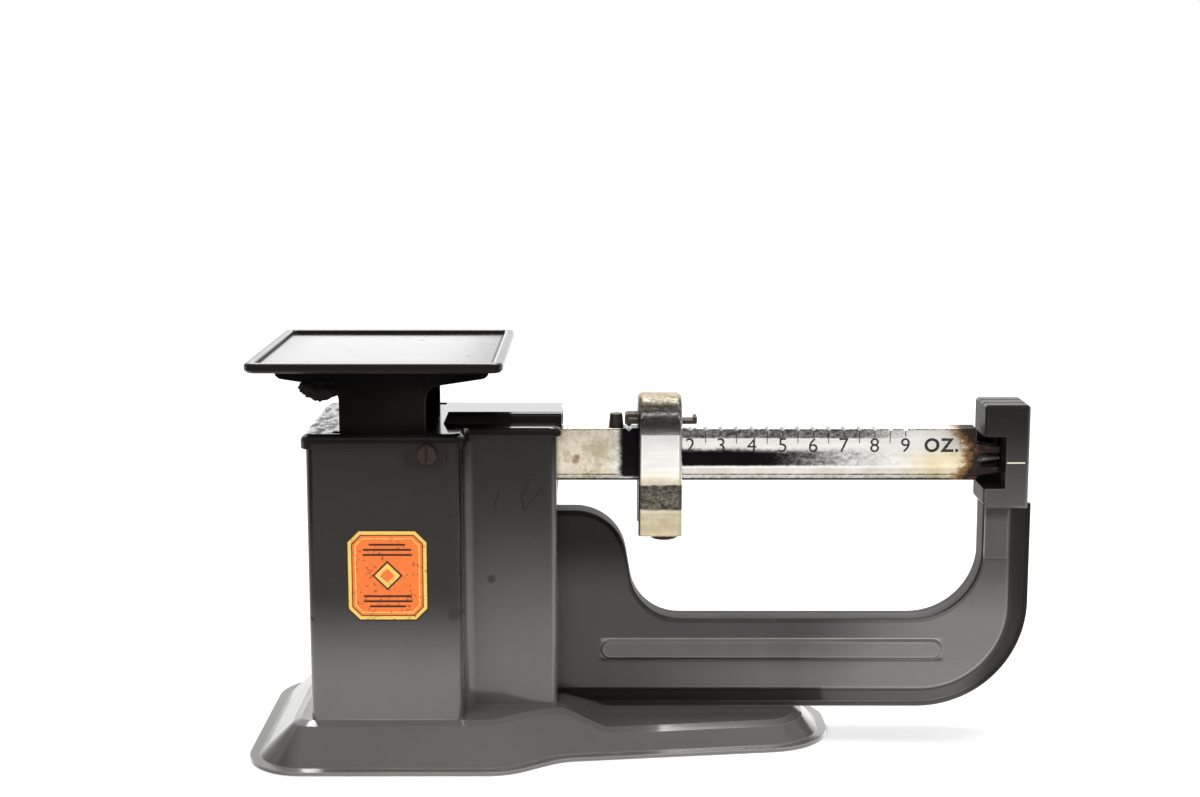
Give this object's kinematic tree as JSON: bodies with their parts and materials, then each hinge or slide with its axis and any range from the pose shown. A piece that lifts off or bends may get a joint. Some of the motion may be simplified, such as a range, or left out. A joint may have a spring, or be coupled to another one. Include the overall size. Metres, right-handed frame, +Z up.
{
  "type": "postal scale",
  "caption": "Small steelyard letter scale: square tray on a pressed steel housing, sliding poise on a notched plated beam, curved arm with an index head.",
  "frame": {"origin": "centre of the overall bounding box, on the table plane under the base", "axes": "+X along the beam from the tray to the index head, -Y towards the side with the numerals, +Z up"},
  "size_m": [0.201, 0.072, 0.102],
  "materials": {
    "enamel": "gloss",
    "nickel": "polished",
    "steel": "satin",
    "iron": "matte",
    "brass": "satin",
    "fastener": "satin",
    "stud": "satin"
  },
  "bodies": {
    "frame": {"base": "enamel", "housing": "enamel", "housing_screws": "fastener", "cover": "enamel", "cover_screws": "fastener", "arm_front": "enamel", "arm_rear": "enamel", "arm_end_block": "steel", "arm_screws": "fastener", "guide_head": "enamel", "fulcrum_stand": "steel", "stand_screws": "fastener", "fulcrum_bearings": "steel", "anchor_pin": "steel"},
    "beam_lever": {"beam": "nickel", "beam_pointer": "steel", "fulcrum_knife": "steel", "load_knife": "steel", "stop_stud": "stud", "counterweight": "iron", "balance_screw": "steel", "balance_nut": "brass"},
    "tray_carrier": {"tray": "enamel", "tray_saddle": "enamel", "load_bearings": "steel", "stirrup": "steel", "stirrup_rivets": "fastener", "check_pin": "steel"},
    "checking_link": {"check_link": "steel"},
    "poise": {"poise_strap": "nickel", "poise_weight": "iron", "poise_plug": "brass", "poise_pawl": "steel", "pawl_rivet": "steel"}
  },
  "joints": [
    {"name": "beam_rock", "type": "hinge", "parent": "frame", "child": "beam_lever", "pos_m": [-0.0534, 0, 0.072], "axis": [0, 1, 0], "range_deg": [-0.95, 0.95]},
    {"name": "tray_level", "type": "hinge", "parent": "beam_lever", "child": "tray_carrier", "pos_m": [-0.0654, 0, 0.072], "axis": [0, 1, 0], "range_deg": [-0.95, 0.95]},
    {"name": "link_swing", "type": "hinge", "parent": "frame", "child": "checking_link", "pos_m": [-0.0534, 0, 0.0245], "axis": [0, 1, 0], "range_deg": [-0.95, 0.95]},
    {"name": "poise_slide", "type": "slide", "parent": "beam_lever", "child": "poise", "axis": [1, 0, 0], "range_m": [0, 0.0714]}
  ],
  "couplings": [
    {"joint": "tray_level", "follows": "beam_rock", "ratio": -1},
    {"joint": "link_swing", "follows": "beam_rock", "ratio": 1}
  ]
}
